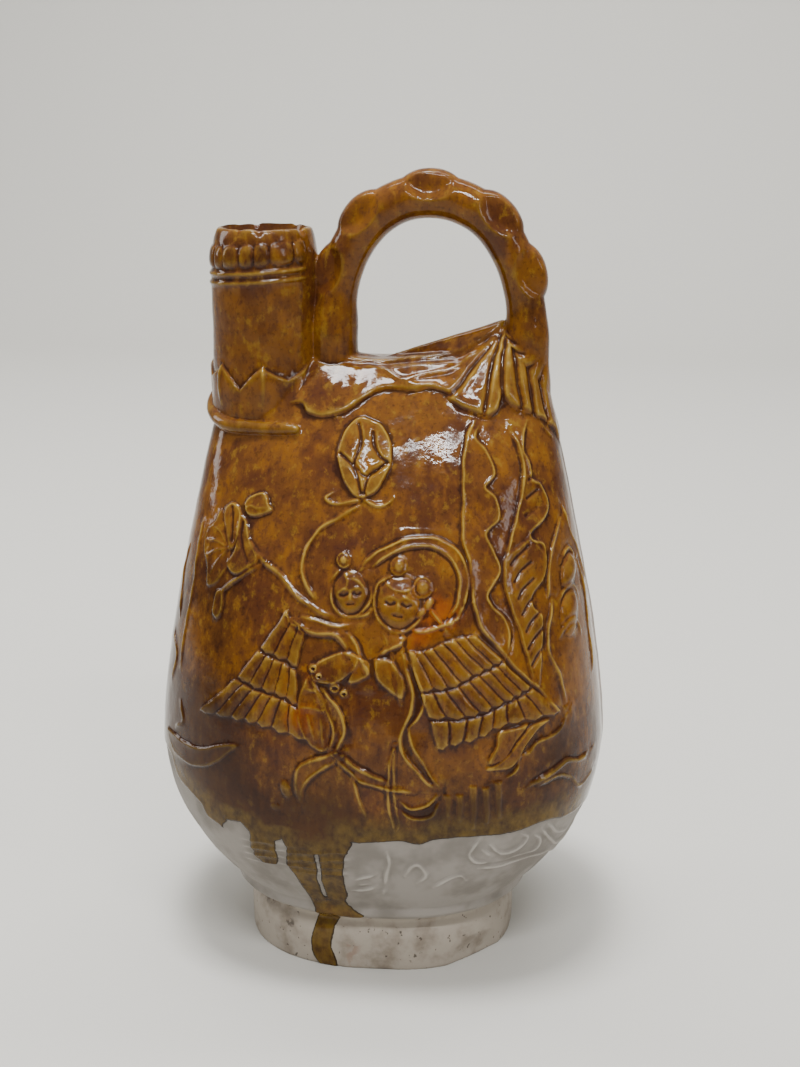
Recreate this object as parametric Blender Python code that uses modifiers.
# A pouch-shaped flask of glazed earthenware: a flat-sided bag on a low foot, with a short spout at one
# side, a finger-pressed loop handle, a stitched-leather flap and moulded reliefs on the body.
# The origin is at the middle of the foot's underside. X runs along the broad face, +X to the viewer's
# right, -Y faces the viewer and Z is up. All sizes are in metres.

import bmesh
import bpy
import numpy as np
from math import atan2, cos, pi, radians, sin

# Overall sizes
HEIGHT = 0.280
BODY_HEIGHT = 0.216
BODY_HALF_WIDTH = 0.0812
BODY_HALF_DEPTH = 0.0658
BODY_SQUARENESS = 2.45
WALL = 0.006

# Foot
FOOT_HEIGHT = 0.021
FOOT_HALF_WIDTH = 0.0498
FOOT_HALF_DEPTH = 0.0480
FOOT_WAIST = 0.003
FOOT_RING = 0.011
FOOT_RECESS = 0.0035
FLOOR_THICKNESS = 0.0065
CHIP_PLACE = (0.037, -0.034, 0.001)
CHIP_SIZE = (0.013, 0.013, 0.009)
CHIP_DEPTH = 0.0018

# Spout
SPOUT_X = -0.0420
SPOUT_RADIUS = 0.0186
SPOUT_WALL = 0.0045
SPOUT_TOP = 0.2605
SPOUT_FOOT = 0.176
LIP_DROP = 0.018
LIP_TAPER = 0.0026
COIL_RADIUS = 0.0022
COIL_HEIGHT = 0.194
# Along the coil: the turn about the spout's axis in degrees, the middle line's distance from the spout's
# surface, its rise above the coil's height and the share of its full thickness
COIL_PATH = ((-110, 0.0006, 0.0070, 0.8), (-93, 0.0009, 0.0048, 1.0), (-72, 0.0008, 0.0020, 1.0),
             (-36, 0.0016, -0.0003, 1.0), (0, 0.0027, -0.0004, 1.0), (21, 0.0067, 0.0, 0.95),
             (31, 0.0105, 0.0002, 0.6))
PETALS = 7
PETAL_TURN = radians(6.0)
PETAL_TOP = 0.214
PETAL_EDGE = 0.0016
BEADS = 18
BEAD_HEIGHT = 0.2525
BEAD_HALF_HEIGHT = 0.0034
RING_DROPS = (0.0058, 0.0092)
RING_HALF_WIDTH = 0.0011
SPOUT_REACH = 0.003

# Handle
HANDLE_MIDDLE_X = 0.0160
HANDLE_HALF_SPAN = 0.0342
HANDLE_SPRING = 0.222
HANDLE_RADIUS = 0.0072
HANDLE_THIN_RADIUS = 0.0064
HANDLE_SQUARENESS = 2.2
HANDLE_ROOT = 0.197
ROOT_FLARE = 1.2
PRESS_COUNT = 5
PRESS_STEP = radians(27.0)
PRESS_BULGE = 0.0058
PRESS_LENGTH = 0.0105
PRESS_DEPTH = 0.0019

# Moulded relief
RELIEF = 0.0015
FLAP_STEP = 0.0014
NET_UNIT = BODY_HEIGHT / 216

# Surface
GRAIN = 0.0013
SOFTEN_ROUNDS = 4
FACE_SHARE = 0.046
# Shares of the body's height at which its form has a ring: closer together near the foot and the ridge
FOOT_RINGS = (0, 0.02, 0.05)
SIDE_RINGS = (0.08, 0.94, 52)
RIDGE_RINGS = (0.96, 0.975, 0.985, 0.993, 0.998)

# The body's outline above the foot: share of the height between foot and top, of the half width and of
# the half depth, from the waist over the belly to the ridge.
BODY_OUTLINE = (
    (0.03, 0.68, 0.78), (0.07, 0.78, 0.85), (0.12, 0.87, 0.92), (0.19, 0.957, 0.983), (0.28, 1.0, 1.0),
    (0.38, 0.985, 0.98), (0.51, 0.94, 0.905), (0.64, 0.877, 0.77), (0.74, 0.825, 0.63),
    (0.815, 0.786, 0.517), (0.877, 0.751, 0.403), (0.928, 0.708, 0.289), (0.964, 0.64, 0.19),
    (0.99, 0.517, 0.106),
)
# The ridge's height above the shoulder, as a share of the body's height, from the spout side to the
# handle's outer root.
RIDGE_OUTLINE = ((-0.75, 1.04), (-0.37, 1.018), (-0.18, 1.004), (0.0, 1.0), (0.15, 1.006), (0.31, 1.015),
                 (0.44, 1.04), (0.55, 1.072), (0.66, 1.07), (0.75, 1.03))
SHOULDER = 0.917


def smooth_curve(points, steps=8):
    """Points along a smooth curve that runs through the given ones."""
    points = np.array(points, dtype=float)
    ends = np.vstack([2 * points[0] - points[1], points, 2 * points[-1] - points[-2]])
    shares = np.linspace(0.0, 1.0, steps, endpoint=False)[:, None]
    runs = []
    for before, start, end, after in zip(ends, ends[1:], ends[2:], ends[3:]):
        runs.append(0.5 * (2 * start + (end - before) * shares
                           + (2 * before - 5 * start + 4 * end - after) * shares ** 2
                           + (3 * start - before - 3 * end + after) * shares ** 3))
    return np.vstack(runs + [points[-1:]])


OUTLINE_CURVE = smooth_curve(BODY_OUTLINE)


def body_size(height):
    """Half width and half depth of the body and its foot at a height."""
    share = (height - FOOT_HEIGHT) / (BODY_HEIGHT - FOOT_HEIGHT)
    wide = BODY_HALF_WIDTH * np.interp(share, OUTLINE_CURVE[:, 0], OUTLINE_CURVE[:, 1])
    deep = BODY_HALF_DEPTH * np.interp(share, OUTLINE_CURVE[:, 0], OUTLINE_CURVE[:, 2])
    blend = np.clip((height - FOOT_HEIGHT + FOOT_WAIST) / (2 * FOOT_WAIST), 0.0, 1.0)
    blend = blend * blend * (3 - 2 * blend)
    waist = FOOT_WAIST * np.exp(-((height - FOOT_HEIGHT) / (1.5 * FOOT_WAIST)) ** 2)
    return ((FOOT_HALF_WIDTH - waist) * (1 - blend) + wide * blend,
            (FOOT_HALF_DEPTH - waist) * (1 - blend) + deep * blend)


def ridge_height(x):
    """Height of the saddle ridge above the middle of the body at x."""
    shares = np.array(RIDGE_OUTLINE)
    return BODY_HEIGHT * np.interp(x / BODY_HALF_WIDTH, shares[:, 0], shares[:, 1])


def lift(x, height):
    """Raises the shoulder to the saddle ridge, which climbs toward the handle's outer root."""
    shoulder = SHOULDER * BODY_HEIGHT
    climb = (ridge_height(x) - shoulder) / (BODY_HEIGHT - shoulder)
    return np.where(height > shoulder, shoulder + (height - shoulder) * climb, height)


def drum(name, levels, sides, squareness, lifted):
    """A closed form through rings of given height, half width and half depth, bottom to top."""
    form = bmesh.new()
    bmesh.ops.create_uvsphere(form, u_segments=sides, v_segments=len(levels) + 1, radius=1.0)
    for vertex in form.verts:
        x, y, z = vertex.co
        ring = (0.5 + np.arcsin(np.clip(z, -1, 1)) / pi) * (len(levels) + 1) - 1
        ring = int(round(ring))
        pole = ring < 0 or ring >= len(levels)
        height, wide, deep = levels[min(max(ring, 0), len(levels) - 1)]
        turn = atan2(y, x)
        power = 2 / squareness
        vertex.co.x = 0 if pole else wide * abs(cos(turn)) ** power * np.sign(cos(turn))
        vertex.co.y = 0 if pole else deep * abs(sin(turn)) ** power * np.sign(sin(turn))
        vertex.co.z = lift(vertex.co.x, height) if lifted else height
    mesh = bpy.data.meshes.new(name)
    form.to_mesh(mesh)
    form.free()
    return bpy.data.objects.new(name, mesh)


def turned(name, profile, sides, x):
    """A solid of revolution about the upright line at x, from (radius, height) points, top to bottom."""
    mesh = bpy.data.meshes.new(name)
    points = [(0, profile[0][1])] + list(profile) + [(0, profile[-1][1])]
    mesh.from_pydata([(r, 0, z) for r, z in points], [(i, i + 1) for i in range(len(points) - 1)], [])
    piece = bpy.data.objects.new(name, mesh)
    screw = piece.modifiers.new("turn", "SCREW")
    screw.steps = screw.render_steps = sides
    screw.use_merge_vertices = True
    screw.merge_threshold = 0.00001
    piece.location = (x, 0, 0)
    return piece


def tube(name, points, radii):
    """A round bar along points, as a curve object with filled caps."""
    curve = bpy.data.curves.new(name, "CURVE")
    curve.dimensions = "3D"
    curve.bevel_depth = 1.0
    curve.bevel_resolution = 6
    curve.use_fill_caps = True
    spline = curve.splines.new("POLY")
    spline.points.add(len(points) - 1)
    for point, place, radius in zip(spline.points, points, radii):
        point.co = (*place, 1)
        point.radius = radius
    return bpy.data.objects.new(name, curve)


def ball(name, centre, half_sizes, turn):
    """An ellipsoid turned about Y."""
    form = bmesh.new()
    bmesh.ops.create_uvsphere(form, u_segments=24, v_segments=16, radius=1.0)
    mesh = bpy.data.meshes.new(name)
    form.to_mesh(mesh)
    form.free()
    piece = bpy.data.objects.new(name, mesh)
    piece.scale = half_sizes
    piece.rotation_euler = (0, turn, 0)
    piece.location = centre
    return piece


def mesh_of(piece):
    """The piece as its modifiers and its place leave it, as a mesh of its own."""
    bpy.context.scene.collection.objects.link(piece)
    bpy.context.view_layer.update()
    seen = piece.evaluated_get(bpy.context.evaluated_depsgraph_get())
    mesh = bpy.data.meshes.new_from_object(seen)
    mesh.transform(piece.matrix_world)
    bpy.data.objects.remove(piece)
    return mesh


def joined(name, pieces):
    """One object with the pieces' meshes side by side in it."""
    form = bmesh.new()
    for piece in pieces:
        form.from_mesh(mesh_of(piece))
    bmesh.ops.remove_doubles(form, verts=form.verts, dist=0.00001)
    bmesh.ops.recalc_face_normals(form, faces=form.faces)
    mesh = bpy.data.meshes.new(name)
    form.to_mesh(mesh)
    form.free()
    return bpy.data.objects.new(name, mesh)


def handle_path(count=48):
    """Points along the handle's middle line, from inside the spout's foot to inside the right shoulder."""
    points = [(HANDLE_MIDDLE_X - HANDLE_HALF_SPAN, 0, HANDLE_ROOT)]
    rise = HEIGHT - HANDLE_RADIUS - PRESS_BULGE / 4 - HANDLE_SPRING
    power = 2 / HANDLE_SQUARENESS
    for step in range(count + 1):
        turn = pi - pi * step / count
        points.append((HANDLE_MIDDLE_X + HANDLE_HALF_SPAN * abs(cos(turn)) ** power * np.sign(cos(turn)), 0,
                       HANDLE_SPRING + rise * abs(sin(turn)) ** power))
    points.append((HANDLE_MIDDLE_X + HANDLE_HALF_SPAN, 0, HANDLE_ROOT))
    return points


def press_marks():
    """Middle and lengthwise direction of each finger mark, on the outer side of the handle."""
    path = np.array(handle_path())[:, [0, 2]]
    centre = np.array((HANDLE_MIDDLE_X, HANDLE_SPRING))
    turns = np.arctan2(path[:, 1] - centre[1], path[:, 0] - centre[0])
    marks = []
    for number in range(PRESS_COUNT):
        turn = pi / 2 - (number - (PRESS_COUNT - 1) / 2) * PRESS_STEP
        nearest = int(np.argmin(np.abs(turns - turn)))
        along = path[nearest + 1] - path[nearest - 1]
        along /= np.hypot(*along)
        outward = np.array((-along[1], along[0]))
        marks.append((path[nearest] + outward * 0.45 * HANDLE_RADIUS, along, outward))
    return marks


def clay_coil():
    """The coil laid round the front of the spout's foot and on along the shoulder."""
    turns, out, rise, thickness = smooth_curve(COIL_PATH, 6).T
    reach = SPOUT_RADIUS + out
    points = np.stack([SPOUT_X + reach * np.sin(np.radians(turns)), -reach * np.cos(np.radians(turns)),
                       COIL_HEIGHT + rise], axis=1)
    return tube("coil", points, COIL_RADIUS * thickness)


def rough_form():
    """All outer forms of the flask, fused by remeshing."""
    outline = FOOT_RINGS + tuple(np.linspace(*SIDE_RINGS)) + RIDGE_RINGS
    levels = [(BODY_HEIGHT * share, *body_size(BODY_HEIGHT * share)) for share in outline]
    body = drum("body", levels, 96, BODY_SQUARENESS, True)
    lip = SPOUT_RADIUS - LIP_TAPER
    spout = turned("spout", [(lip, SPOUT_TOP + FLAP_STEP), (SPOUT_RADIUS, SPOUT_TOP - LIP_DROP),
                             (SPOUT_RADIUS, HANDLE_SPRING), (SPOUT_RADIUS * 1.03, SPOUT_FOOT)], 48, SPOUT_X)
    path = handle_path()
    radii = list(np.interp(range(len(path)), (0, 0.6 * len(path), len(path)),
                           (HANDLE_RADIUS, HANDLE_RADIUS, HANDLE_THIN_RADIUS)))
    radii[0] *= ROOT_FLARE
    radii[-1] *= ROOT_FLARE
    handle = tube("handle", path, radii)
    bulges = [ball("bulge", (middle[0], 0, middle[1]),
                   (PRESS_LENGTH, HANDLE_RADIUS * 0.95, HANDLE_RADIUS * 0.45 + PRESS_BULGE * 0.5),
                   -atan2(along[1], along[0])) for middle, along, outward in press_marks()]
    flask = joined("flask", [body, spout, handle, clay_coil()] + bulges)
    fuse = flask.modifiers.new("fuse", "REMESH")
    fuse.mode = "VOXEL"
    fuse.voxel_size = GRAIN
    soften = flask.modifiers.new("soften", "SMOOTH")
    soften.factor = 0.5
    soften.iterations = SOFTEN_ROUNDS
    return flask


class Carving:
    """Relief heights at points of a net laid on the surface: 'across' runs to the right, 'up' upward."""

    def __init__(self, across, up):
        self.across, self.up = across, up
        self.rise = np.zeros(len(across))

    def near(self, points, reach):
        low, high = np.min(points, axis=0) - reach, np.max(points, axis=0) + reach
        return np.flatnonzero((self.across > low[0]) & (self.across < high[0])
                              & (self.up > low[1]) & (self.up < high[1]))

    def distance(self, picked, points, closed=False):
        """Distance of the picked net points to the line through the given ones."""
        ends = np.roll(points, -1, axis=0) if closed else points[1:]
        best = np.full(len(picked), np.inf)
        spots = np.stack([self.across[picked], self.up[picked]], axis=1)
        for start, end in zip(points, ends):
            run = end - start
            share = np.clip((spots - start) @ run / max(run @ run, 1e-9), 0, 1)
            best = np.minimum(best, np.hypot(*(spots - start - share[:, None] * run).T))
        return best

    def line(self, points, width, height):
        """A rounded line raised along a smooth curve, or sunk where the height is negative."""
        points = smooth_curve(points, 5)
        picked = self.near(points, width)
        bump = height * np.exp(-(self.distance(picked, points) / (0.55 * width)) ** 2)
        if height > 0:
            self.rise[picked] = np.maximum(self.rise[picked], bump)
        else:
            self.rise[picked] += bump

    def patch(self, points, height, edge):
        """A closed outline raised flat, with a soft edge."""
        points = np.array(points, dtype=float)
        picked = self.near(points, edge)
        inside = np.zeros(len(picked), dtype=bool)
        for start, end in zip(points, np.roll(points, -1, axis=0)):
            crosses = (start[1] > self.up[picked]) != (end[1] > self.up[picked])
            climbed = (self.up[picked] - start[1]) / (end[1] - start[1] + 1e-12)
            inside ^= crosses & (self.across[picked] < start[0] + (end[0] - start[0]) * climbed)
        depth = self.distance(picked, points, closed=True) * np.where(inside, 1, -1)
        share = np.clip(0.5 + depth / edge, 0, 1)
        bump = height * share * share * (3 - 2 * share)
        self.rise[picked] = np.maximum(self.rise[picked], bump)

    def dome(self, centre, half_sizes, height, turn=0.0):
        """A raised oval, turned by an angle."""
        beside, above = self.across - centre[0], self.up - centre[1]
        u = (beside * cos(turn) + above * sin(turn)) / half_sizes[0]
        v = (above * cos(turn) - beside * sin(turn)) / half_sizes[1]
        self.rise = np.maximum(self.rise, height * np.sqrt(np.clip(1 - u * u - v * v, 0, 1)))


def scallops(start, spread, depth, pitch, top, bottom):
    """Points of a scalloped edge that runs down from the top height to the bottom one."""
    return [(start + spread * (top - up) + depth * abs(sin(pi * (top - up) / pitch)) ** 0.6, up)
            for up in np.arange(top, bottom, -pitch / 6)]


def wing(carving, edges, feathers):
    """Rows of raised feathers between neighbouring edge lines, each row split into its feathers."""
    for upper, lower, count in zip(edges, edges[1:], feathers):
        upper, lower = smooth_curve(upper, 12), smooth_curve(lower, 12)

        def spot(line, share):
            place = share * (len(line) - 1)
            first = min(int(place), len(line) - 2)
            return line[first] + (line[first + 1] - line[first]) * (place - first)

        for number in range(count):
            near, far = (number + 0.1) / count, (number + 0.9) / count
            tops, tips = (spot(upper, near), spot(upper, far)), (spot(lower, far), spot(lower, near))
            tip = (tips[0] + tips[1]) / 2
            shift = (tip - (tops[0] + tops[1]) / 2) * 0.05
            carving.patch([tops[0] + shift, tops[1] + shift, tips[0] - shift, tip, tips[1] - shift],
                          1.15 * RELIEF, 1.6)


def front_relief(carving):
    """Two winged heads under an arched band, with a lotus bud, leaves and a scalloped panel edge."""
    raised = RELIEF
    # The figure's left and right wings: edge lines from the shoulder down to the feather tips
    wing(carving, (((-27, 138), (-24, 134), (-21, 129)), ((-37, 123), (-30, 120), (-23, 118)),
                   ((-46, 112), (-34, 109), (-21, 107)), ((-61, 99), (-37, 96), (-13, 94))), (3, 4, 7))
    wing(carving, (((35, 132), (24, 129), (14, 127)), ((45, 121), (33, 117), (20, 107)),
                   ((57, 111), (40, 104), (24, 102)), ((70, 101), (46, 96), (26, 91))), (7, 8, 9))
    # Body, shoulders and tail
    carving.patch(((-2, 131), (10, 131), (13, 118), (11, 104), (4, 98), (-2, 106), (-5, 118)),
                  1.2 * raised, 5)
    carving.patch(((-13, 112), (-5, 104), (0, 92), (-6, 88), (-14, 94)), raised, 4)
    carving.line(((-21, 130), (-12, 132), (-3, 130), (3, 126)), 4, raised)
    carving.line(((35, 134), (26, 133), (17, 131), (10, 129)), 4, raised)
    carving.line(((13, 120), (16, 111), (12, 98), (16, 89), (24, 80)), 3, raised)
    carving.line(((-13, 109), (-7, 101), (-9, 92), (-20, 85), (-24, 77)), 3, raised)
    carving.line(((-4, 86), (0, 78), (1, 69)), 2.5, raised)
    carving.line(((-9, 92), (-2, 87), (7, 81)), 2.5, raised)
    carving.line(((9, 95), (10, 80), (11, 65)), 3, raised)
    # Heads with their topknots and the arched band behind them
    for centre, size, bun in (((-6, 144), (6, 7), (-9, 154)), ((11, 142), (8, 9), (10, 153))):
        carving.dome(centre, size, 1.9 * raised)
        carving.dome(bun, (2.4, 2.4), 1.6 * raised)
    carving.dome((20, 147), (3, 3), 1.3 * raised)
    carving.line(((-2, 154), (7, 161), (17, 163), (26, 161), (31, 155), (33, 145), (30, 136)), 4, raised)
    # Lotus bud on its stem, with sepals and petal edges
    carving.dome((-3, 186), (9.5, 14), 1.2 * raised)
    for side in (-1, 1):
        carving.line(((-3, 197), (-3 + 4 * side, 187), (-3 + side, 176)), 1.8, -0.6 * raised)
    carving.line(((-16, 172), (-9, 175), (-3, 173), (3, 175), (7, 173)), 2.2, raised)
    carving.line(((-4, 172), (-18, 163), (-23, 155), (-22, 147), (-15, 138)), 2.4, raised)
    # Lotus leaf seen from the side, on its stem
    carving.patch(((-63, 152), (-62, 162), (-55, 168), (-46, 170), (-38, 173), (-35, 168), (-42, 163),
                   (-46, 156), (-54, 146), (-57, 134), (-59, 146)), 0.9 * raised, 3)
    carving.line(((-44, 159), (-37, 152), (-29, 147), (-22, 141), (-10, 137)), 3, raised)
    # Panel edge, the scalloped strip beside it and the veined leaf
    carving.line(((33, 198), (30, 180), (31, 163), (35, 144), (46, 125), (70, 101)), 2.2, 0.8 * raised)
    carving.line(scallops(37.5, 0.06, 5, 16, 194, 126), 2.2, 0.8 * raised)
    carving.patch(((55, 159), (47, 155), (46, 147), (49, 137), (55, 124), (60, 113), (63, 128), (61, 136),
                   (57, 140), (62, 148), (60, 158)), raised, 2.5)
    for number in range(6):
        foot = (50 + 1.6 * number, 151 - 6 * number)
        carving.line((foot, (foot[0] + 5, foot[1] + 4)), 1.6, -0.7 * raised)
    # Small leaf, flutes and waves near the glaze's edge
    carving.patch(((41, 85), (45, 93), (56, 101), (66, 101), (56, 93)), raised, 2)
    for number in range(6):
        carving.line(((26 + 4 * number, 81), (27 + 4 * number, 67)), 2.4, raised)
    carving.line(((-78, 87), (-66, 84), (-55, 86), (-46, 91)), 3, raised)
    carving.line(((52, 82), (66, 80), (80, 86)), 4, raised)
    carving.line(((36, 64), (50, 58), (66, 62), (80, 56)), 3, 0.6 * raised)
    # The small figure on the side
    carving.dome((76, 146), (5, 6), 1.2 * raised)
    carving.dome((76, 133), (6, 9), raised)


def back_relief(carving):
    """A plainer back: one lotus bud between two bowed stems with leaves, inside a scalloped panel."""
    carving.dome((0, 172), (10, 14), 1.2 * RELIEF)
    stem = ((0, 158), (12, 142), (14, 122), (4, 98), (0, 70))
    leaves = (((12, 140), (24, 150), (36, 148), (44, 136), (32, 130), (20, 131)),
              ((6, 98), (18, 110), (32, 110), (42, 98), (28, 92), (14, 90)))
    for side in (-1, 1):
        carving.line([(side * across, up) for across, up in stem], 2.6, RELIEF)
        for leaf in leaves:
            carving.patch([(side * across, up) for across, up in leaf], RELIEF, 3)
        edge = scallops(44, 0.12, 4, 15, 190, 84)
        carving.line([(side * across, up) for across, up in edge], 2.4, 0.8 * RELIEF)


def flap_relief(carving):
    """The leather-like flap over the shoulder: a lobed lower edge and folds that gather at the handle."""
    lobes = 5 * np.abs(np.sin((carving.across - 48) / 7.5))
    edge = 197 + 8 * np.exp(-((carving.across - 8) / 14) ** 2) - lobes * (carving.across > 22)
    share = np.clip(0.5 + (carving.up - edge) / 2.5, 0, 1)
    ends = np.clip((carving.across + 30) / 4, 0, 1) * np.clip((66 - carving.across) / 4, 0, 1)
    carving.rise = np.maximum(carving.rise, FLAP_STEP * share * ends)
    for across in (22, 30, 37, 44, 51, 58):
        carving.line(((across, 200), (0.5 * across + 24, 210), (51, 224)), 2.2, -0.8 * RELIEF)


def spout_relief(spots):
    """Lotus petals round the spout's foot, a band of beads and two rings below the lip."""
    turn = np.arctan2(spots[:, 0] - SPOUT_X, -spots[:, 1])
    height = spots[:, 2]
    round_share = ((turn - PETAL_TURN) / (2 * pi) * PETALS + 0.5) % 1 * 2 - 1
    tip = PETAL_TOP - 0.4 * SPOUT_RADIUS * np.abs(round_share)
    rise = RELIEF * 0.8 * np.clip(0.5 + (tip - height) / PETAL_EDGE, 0, 1)
    bead_share = (turn / (2 * pi) * BEADS) % 1 * 2 - 1
    bead = np.clip(1 - bead_share ** 2 - ((height - BEAD_HEIGHT) / BEAD_HALF_HEIGHT) ** 2, 0, 1)
    rise += RELIEF * 0.9 * np.sqrt(bead)
    for drop in RING_DROPS:
        rise += RELIEF * 0.8 * np.exp(-((height - BEAD_HEIGHT + drop) / RING_HALF_WIDTH) ** 2)
    return rise


def carve(mesh):
    """Pushes the fused surface out to its reliefs and presses the finger marks into the handle."""
    count = len(mesh.vertices)
    spots, normals = np.empty(count * 3), np.empty(count * 3)
    mesh.vertices.foreach_get("co", spots)
    mesh.vertices.foreach_get("normal", normals)
    spots, normals = spots.reshape(-1, 3), normals.reshape(-1, 3)
    x, y, z = spots.T
    shoulder = SHOULDER * BODY_HEIGHT
    climb = (ridge_height(x) - shoulder) / (BODY_HEIGHT - shoulder)
    level = np.where(z > shoulder, shoulder + (z - shoulder) / climb, z)
    wide, deep = body_size(np.clip(level, 0, 0.995 * BODY_HEIGHT))
    power = BODY_SQUARENESS / 2
    sideways, frontward = np.abs(x / wide) ** power, np.abs(y / deep) ** power
    share = (sideways ** 2 + frontward ** 2) ** (1 / BODY_SQUARENESS)
    turn = np.arctan2(sideways, frontward)
    across = arc_length(turn, level) / NET_UNIT * np.sign(x)
    up = level / NET_UNIT
    on_spout = np.exp(-((np.hypot(x - SPOUT_X, y) - SPOUT_RADIUS) / SPOUT_REACH) ** 2) * (z > COIL_HEIGHT)
    on_body = np.exp(-((share - 1) / 0.06) ** 2) * (level > FOOT_HEIGHT) * (level < 0.99 * BODY_HEIGHT)
    on_body *= 1 - on_spout
    rise = np.zeros(count)
    for front, motifs in ((True, (front_relief, flap_relief)), (False, (back_relief, flap_relief))):
        here = np.flatnonzero((y < 0) == front)
        carving = Carving(across[here], up[here])
        for motif in motifs:
            motif(carving)
        rise[here] = carving.rise
    rise *= on_body
    rise = np.maximum(rise, spout_relief(spots) * on_spout * (x < SPOUT_X + 0.9 * SPOUT_RADIUS))
    spots = spots + normals * rise[:, None]
    for middle, along, outward in press_marks():
        beside = spots[:, [0, 2]] - middle
        lengthwise = beside @ along / (0.95 * PRESS_LENGTH)
        crosswise = beside @ outward / (0.75 * PRESS_BULGE)
        inside = 1 - lengthwise ** 2 - crosswise ** 2
        spots[:, 1] -= np.sign(spots[:, 1]) * PRESS_DEPTH * np.clip(inside * 1.6, 0, 1)
    chip = (spots - CHIP_PLACE) / np.array(CHIP_SIZE)
    depth = np.clip(1 - (chip ** 2).sum(axis=1), 0, 1)
    spots[:, :2] *= 1 - CHIP_DEPTH / FOOT_HALF_WIDTH * depth[:, None]
    mesh.vertices.foreach_set("co", spots.ravel())
    mesh.update()


def arc_length(turn, level, turns=65, levels=49):
    """Distance round the body from the middle of its broad face to a turn, at a level."""
    steps = np.linspace(0, pi / 2, turns)
    heights = np.linspace(0, BODY_HEIGHT, levels)
    wide, deep = body_size(np.clip(heights, 0, 0.995 * BODY_HEIGHT))
    power = 2 / BODY_SQUARENESS
    x = wide[:, None] * np.sin(steps) ** power
    y = deep[:, None] * np.cos(steps) ** power
    lengths = np.zeros((levels, turns))
    lengths[:, 1:] = np.cumsum(np.hypot(np.diff(x), np.diff(y)), axis=1)
    column = np.clip(turn / (pi / 2) * (turns - 1), 0, turns - 1.001)
    row = np.clip(level / BODY_HEIGHT * (levels - 1), 0, levels - 1.001)
    left, low = column.astype(int), row.astype(int)
    right_share, high_share = column - left, row - low
    below = lengths[low, left] * (1 - right_share) + lengths[low, left + 1] * right_share
    above = lengths[low + 1, left] * (1 - right_share) + lengths[low + 1, left + 1] * right_share
    return below * (1 - high_share) + above * high_share


def cavity():
    """The hollow of the body, a wall's thickness inside it and down into the foot."""
    floor = FOOT_RECESS + FLOOR_THICKNESS
    top = 0.962 * BODY_HEIGHT
    levels = []
    for share in (0, 0.04, 0.09, 0.13, 0.19, 0.27, 0.37, 0.48, 0.59, 0.7, 0.79, 0.86, 0.92, 0.97, 1):
        height = floor + (top - floor) * share
        wide, deep = body_size(height)
        levels.append((height, wide - WALL, max(deep - WALL, 0.5 * WALL)))
    levels[0] = (floor, levels[0][1] - WALL, levels[0][2] - WALL)
    return drum("hollow of the body", levels, 32, BODY_SQUARENESS, False)


def recess():
    """The shallow hollow under the foot, inside its ring."""
    steps = ((-WALL, 0), (0, 0), (0.6 * FOOT_RECESS, 0.4 * FOOT_RECESS), (FOOT_RECESS, FOOT_RECESS))
    levels = [(height, FOOT_HALF_WIDTH - FOOT_RING - drawn, FOOT_HALF_DEPTH - FOOT_RING - drawn)
              for height, drawn in steps]
    return drum("hollow of the foot", levels, 32, BODY_SQUARENESS, False)


def slab(name, low, high):
    """A wide block from one height to another, which trims a face flat."""
    form = bmesh.new()
    bmesh.ops.create_cube(form, size=1.0)
    for vertex in form.verts:
        vertex.co.x *= 3 * BODY_HALF_WIDTH
        vertex.co.y *= 3 * BODY_HALF_WIDTH
        vertex.co.z = low if vertex.co.z < 0 else high
    mesh = bpy.data.meshes.new(name)
    form.to_mesh(mesh)
    form.free()
    return bpy.data.objects.new(name, mesh)


def glazed_clay():
    """The amber glaze that covers most of the flask."""
    material = bpy.data.materials.new("amber glazed earthenware")
    material.use_nodes = True
    shader = material.node_tree.nodes["Principled BSDF"]
    shader.inputs["Base Color"].default_value = (0.33, 0.12, 0.02, 1)
    shader.inputs["Roughness"].default_value = 0.2
    shader.inputs["Metallic"].default_value = 0.0
    return material


def build():
    for piece in list(bpy.data.objects):
        bpy.data.objects.remove(piece)
    parts = bpy.data.collections.new("pouch flask")
    cutters = bpy.data.collections.new("cutters")
    for collection in (parts, cutters):
        bpy.context.scene.collection.children.link(collection)

    mesh = mesh_of(rough_form())
    mesh.name = "flask"
    carve(mesh)
    flask = bpy.data.objects.new("flask", mesh)
    flask.data.materials.clear()
    flask.data.materials.append(glazed_clay())
    parts.objects.link(flask)
    thin = flask.modifiers.new("fewer faces", "DECIMATE")
    thin.ratio = FACE_SHARE

    bore_radius = SPOUT_RADIUS - SPOUT_WALL
    bore = turned("bore of the spout", [(bore_radius, SPOUT_TOP + WALL), (bore_radius, SPOUT_FOOT)],
                  40, SPOUT_X)
    lip_radius = 1.15 * SPOUT_RADIUS
    lip_trim = turned("above the lip", [(lip_radius, SPOUT_TOP + WALL), (lip_radius, SPOUT_TOP)],
                      24, SPOUT_X)
    below_foot = slab("below the foot", -3 * BODY_HALF_WIDTH, 0)
    cuts = [cavity(), bore, recess(), below_foot, lip_trim]
    for cutter in cuts:
        cutter.hide_render = True
        cutter.display_type = "WIRE"
        cutters.objects.link(cutter)
        cut = flask.modifiers.new("cut " + cutter.name, "BOOLEAN")
        cut.operation = "DIFFERENCE"
        cut.solver = "EXACT"
        cut.object = cutter
    flask.data.shade_smooth()
    flask.data.set_sharp_from_angle(angle=radians(40))


build()
